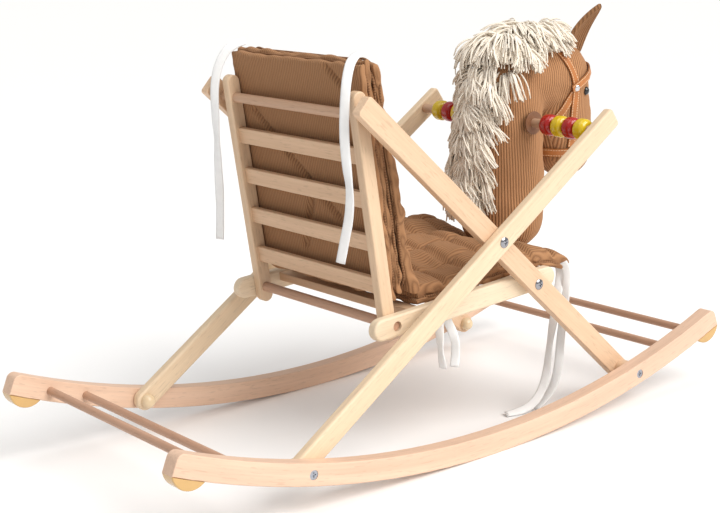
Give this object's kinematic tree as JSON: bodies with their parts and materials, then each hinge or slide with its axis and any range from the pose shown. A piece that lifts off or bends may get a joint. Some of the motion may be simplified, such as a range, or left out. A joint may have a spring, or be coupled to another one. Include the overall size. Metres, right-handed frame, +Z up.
{
  "type": "rocking horse",
  "caption": "Wooden rocking chair for a toddler with crossed arms, a stuffed horse head, a play-bead handle bar and a cushioned seat.",
  "frame": {"origin": "on the floor, under the middle of the bounding box of the wooden frame, head and cushions", "axes": "+X the way the horse faces, +Y the horse's left, +Z up"},
  "size_m": [0.8614, 0.376, 0.5094],
  "materials": {
    "zinc": "satin",
    "rocker_beech": "satin",
    "yellow_paint": "gloss",
    "cream_wood": "satin",
    "tan_wood": "satin",
    "pale_wood": "satin",
    "red_wood": "satin",
    "pink_wood": "satin",
    "cap_plastic": "satin",
    "chrome": "polished",
    "brown_leather": "matte",
    "red_lacquer": "gloss",
    "yellow_lacquer": "gloss",
    "tan_corduroy": "matte",
    "cream_yarn": "matte",
    "silver_rivet": "polished",
    "tan_leather": "satin",
    "black_gloss": "gloss",
    "white_tape": "matte"
  },
  "bodies": {
    "frame": {"arm_spacers": "cream_wood", "back_arm_left": "tan_wood", "back_arm_right": "tan_wood", "back_cushion": "tan_corduroy", "back_slat_1": "pale_wood", "back_slat_2": "pale_wood", "back_slat_3": "pale_wood", "back_slat_4": "pale_wood", "back_stile_left": "pale_wood", "back_stile_right": "pale_wood", "bar_washers": "brown_leather", "bolt_screws": "chrome", "bolt_sleeves": "chrome", "bridle_browband": "tan_leather", "bridle_cheek_straps": "tan_leather", "bridle_noseband": "tan_leather", "bridle_rivets": "silver_rivet", "cap_nuts": "cap_plastic", "ears": "tan_corduroy", "eyes": "black_gloss", "front_end_dowel": "red_wood", "front_inner_dowel": "red_wood", "handle_arm_left": "cream_wood", "handle_arm_right": "cream_wood", "handle_bar": "pink_wood", "horse_head": "tan_corduroy", "lower_dowel": "red_wood", "mane": "cream_yarn", "rear_end_dowel": "red_wood", "rear_inner_dowel": "red_wood", "rocker_bolts": "zinc", "rocker_left": "rocker_beech", "rocker_right": "rocker_beech", "seat_cushion": "tan_corduroy", "seat_rail_left": "pale_wood", "seat_rail_right": "pale_wood", "seat_slat_1": "pale_wood", "seat_slat_2": "pale_wood", "seat_slat_3": "pale_wood", "seat_slat_4": "pale_wood", "seat_slat_5": "pale_wood", "stop_screws": "zinc", "stops_front": "yellow_paint", "stops_rear": "yellow_paint", "tie_back_left": "white_tape", "tie_back_right": "white_tape", "tie_front_inner": "white_tape", "tie_front_outer": "white_tape", "tie_seat_front": "white_tape", "tie_seat_rear": "white_tape", "top_dowel": "pink_wood"},
    "bead_left_1": {"bead_left_1_red": "red_lacquer"},
    "bead_left_2": {"bead_left_2_yellow": "yellow_lacquer"},
    "bead_left_3": {"bead_left_3_red": "red_lacquer"},
    "bead_left_4": {"bead_left_4_yellow": "yellow_lacquer"},
    "bead_right_1": {"bead_right_1_red": "red_lacquer"},
    "bead_right_2": {"bead_right_2_yellow": "yellow_lacquer"},
    "bead_right_3": {"bead_right_3_red": "red_lacquer"},
    "bead_right_4": {"bead_right_4_yellow": "yellow_lacquer"}
  },
  "joints": [
    {"name": "bead_left_1_spin", "type": "hinge", "parent": "frame", "child": "bead_left_1", "pos_m": [0.21704, 0, 0.36096], "axis": [0, 1, 0], "continuous": true},
    {"name": "bead_left_2_spin", "type": "hinge", "parent": "frame", "child": "bead_left_2", "pos_m": [0.21704, 0, 0.36096], "axis": [0, 1, 0], "continuous": true},
    {"name": "bead_left_3_spin", "type": "hinge", "parent": "frame", "child": "bead_left_3", "pos_m": [0.21704, 0, 0.36096], "axis": [0, 1, 0], "continuous": true},
    {"name": "bead_left_4_spin", "type": "hinge", "parent": "frame", "child": "bead_left_4", "pos_m": [0.21704, 0, 0.36096], "axis": [0, 1, 0], "continuous": true},
    {"name": "bead_right_1_spin", "type": "hinge", "parent": "frame", "child": "bead_right_1", "pos_m": [0.21704, 0, 0.36096], "axis": [0, 1, 0], "continuous": true},
    {"name": "bead_right_2_spin", "type": "hinge", "parent": "frame", "child": "bead_right_2", "pos_m": [0.21704, 0, 0.36096], "axis": [0, 1, 0], "continuous": true},
    {"name": "bead_right_3_spin", "type": "hinge", "parent": "frame", "child": "bead_right_3", "pos_m": [0.21704, 0, 0.36096], "axis": [0, 1, 0], "continuous": true},
    {"name": "bead_right_4_spin", "type": "hinge", "parent": "frame", "child": "bead_right_4", "pos_m": [0.21704, 0, 0.36096], "axis": [0, 1, 0], "continuous": true}
  ]
}
